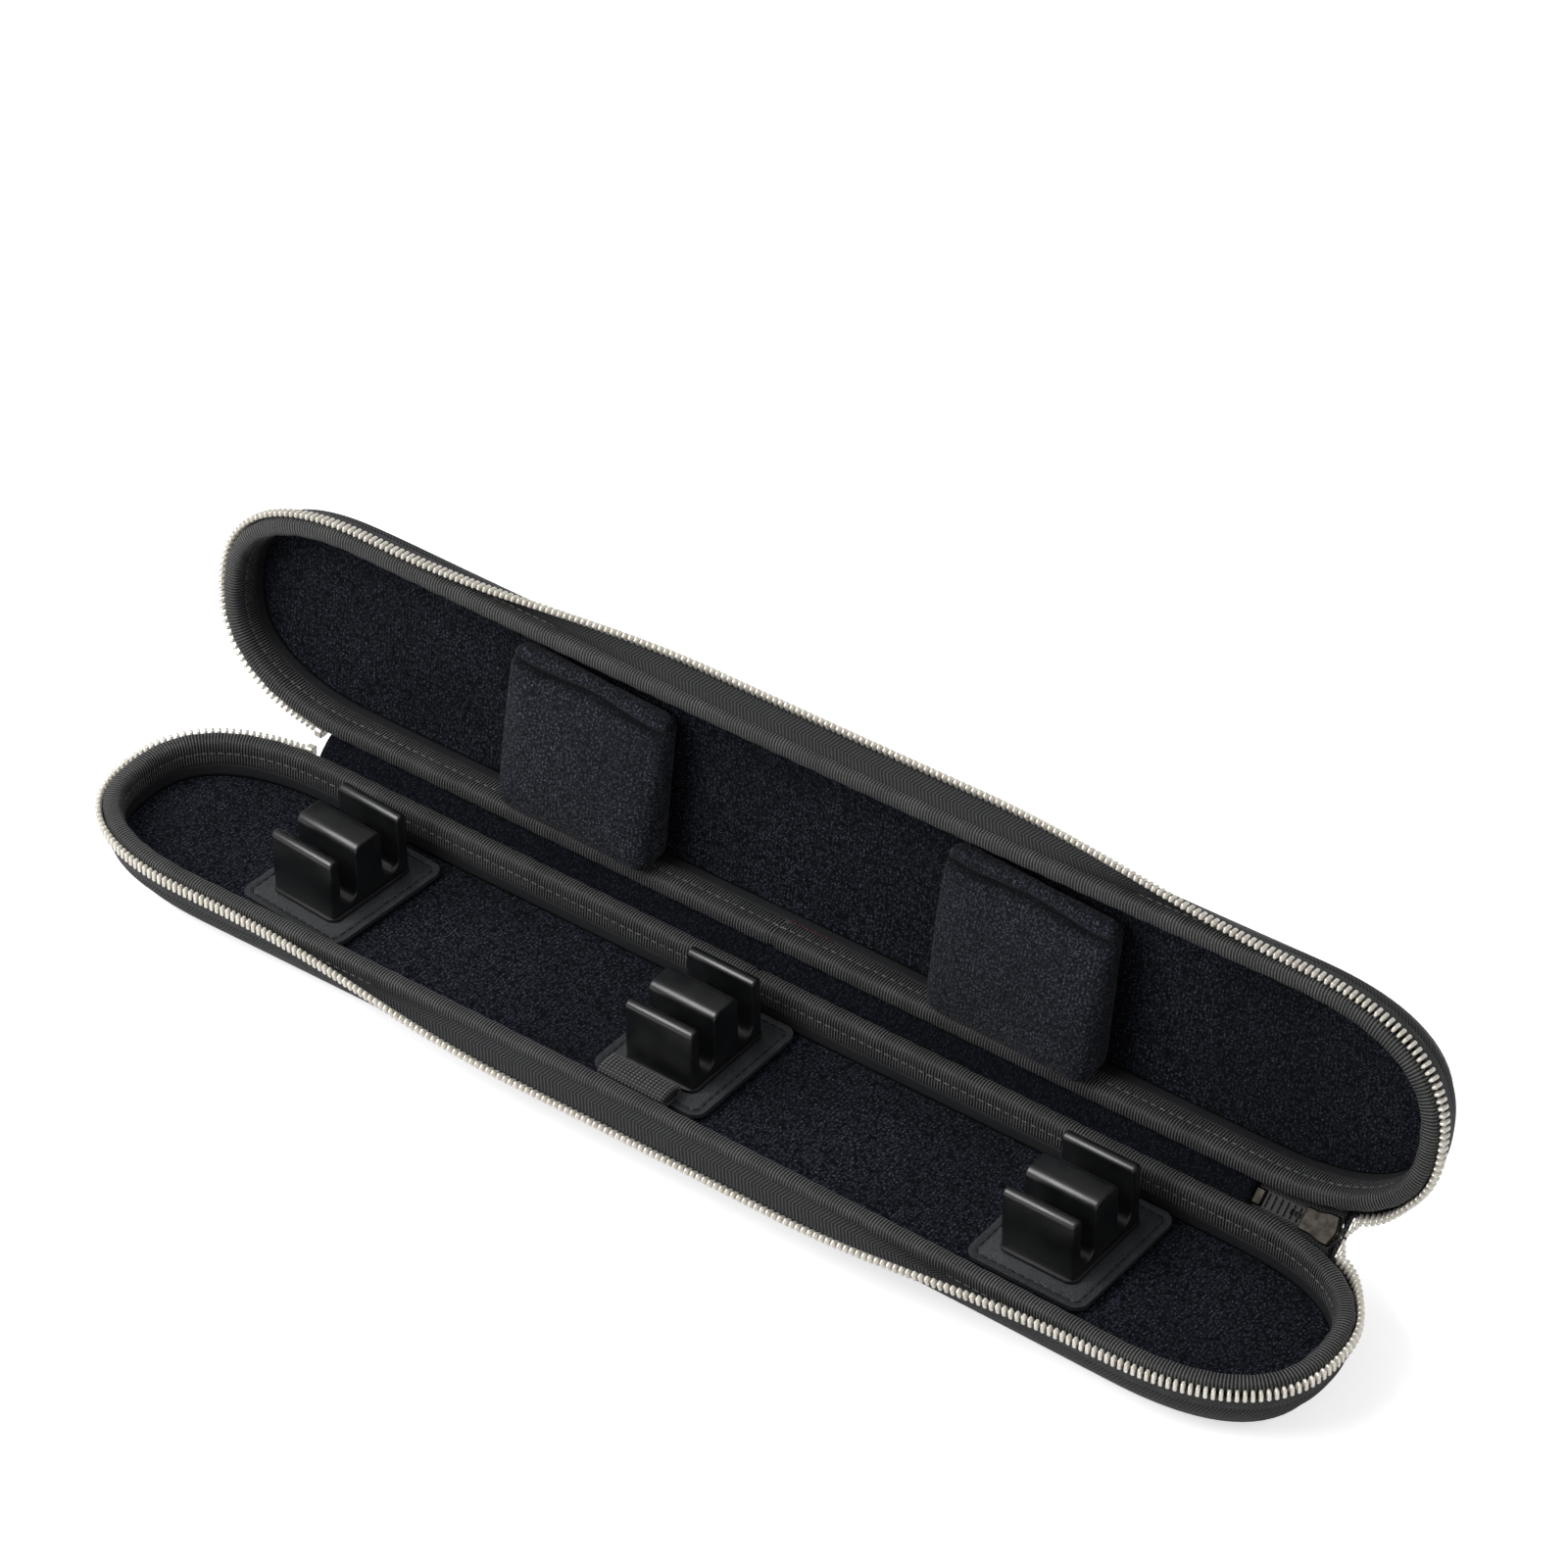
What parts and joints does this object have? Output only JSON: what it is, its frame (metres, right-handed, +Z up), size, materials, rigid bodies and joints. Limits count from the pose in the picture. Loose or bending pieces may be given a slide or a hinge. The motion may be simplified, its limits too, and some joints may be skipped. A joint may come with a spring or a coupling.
{
  "type": "baton case",
  "caption": "Long zip-edged hard case, open on its folding spine, with slotted rubber holders and an elastic loop in the base and soft pads in the lid.",
  "frame": {"origin": "middle of the base tray's flat underside, on the surface that the case lies on", "axes": "+X along the case, +Y from the open front edge towards the folding spine, +Z up out of the base tray"},
  "size_m": [0.4662, 0.1213, 0.1098],
  "materials": {
    "leatherette": "grained black leatherette over a moulded shell",
    "grosgrain": "ribbed black grosgrain ribbon",
    "knit": "dark navy loop-pile knit over foam",
    "plush": "dark navy plush",
    "band": "smooth dark leatherette",
    "twill": "black herringbone twill",
    "nickel": "bright pale nickel plating on brass",
    "rubber": "black moulded rubber, half gloss",
    "patch": "grained dark leather with a sewn edge",
    "hook": "black hook tape",
    "elastic": "ribbed dark grey woven elastic",
    "velour": "dark navy-grey velour over foam"
  },
  "bodies": {
    "base": {"base_binding": "grosgrain", "base_floor_pad": "knit", "base_liner_band": "band", "base_shell": "leatherette", "base_spine_flap": "leatherette", "base_top_stop": "nickel", "base_zip_tape": "twill", "base_zip_teeth": "nickel", "elastic_loop": "elastic", "left_holder": "rubber", "left_holder_hook": "hook", "left_holder_patch": "patch", "middle_holder": "rubber", "middle_holder_hook": "hook", "middle_holder_patch": "patch", "right_holder": "rubber", "right_holder_hook": "hook", "right_holder_patch": "patch"},
    "spine": {"spine_band": "leatherette", "spine_plush": "plush", "bottom_stop": "nickel", "zip_stub": "twill"},
    "lid": {"left_pad": "velour", "left_pad_hook": "hook", "lid_binding": "grosgrain", "lid_floor_pad": "knit", "lid_liner_band": "band", "lid_shell": "leatherette", "lid_spine_flap": "leatherette", "lid_top_stop": "nickel", "lid_zip_tape": "twill", "lid_zip_teeth": "nickel", "right_pad": "velour", "right_pad_hook": "hook"},
    "slider": {"zip_slider": "nickel"},
    "pull_tab": {"pull_tab": "nickel"}
  },
  "joints": [
    {"name": "spine_fold", "type": "hinge", "parent": "base", "child": "spine", "pos_m": [0, 0.0402, 0.0233], "axis": [1, 0, 0], "range_deg": [-40.5, 49.5]},
    {"name": "lid_swing", "type": "hinge", "parent": "spine", "child": "lid", "pos_m": [0, 0.04476, 0.0272], "axis": [1, 0, 0], "range_deg": [-40.5, 49.5]},
    {"name": "slider_run", "type": "slide", "parent": "spine", "child": "slider", "axis": [1, 0, 0], "range_m": [-0.0135, 0]},
    {"name": "tab_swing", "type": "hinge", "parent": "slider", "child": "pull_tab", "pos_m": [0.198, 0.04433, 0.02308], "axis": [0, 0.7604, 0.6494], "range_deg": [-60, 90]}
  ],
  "couplings": [
    {"joint": "spine_fold", "follows": "lid_swing", "ratio": 1}
  ]
}
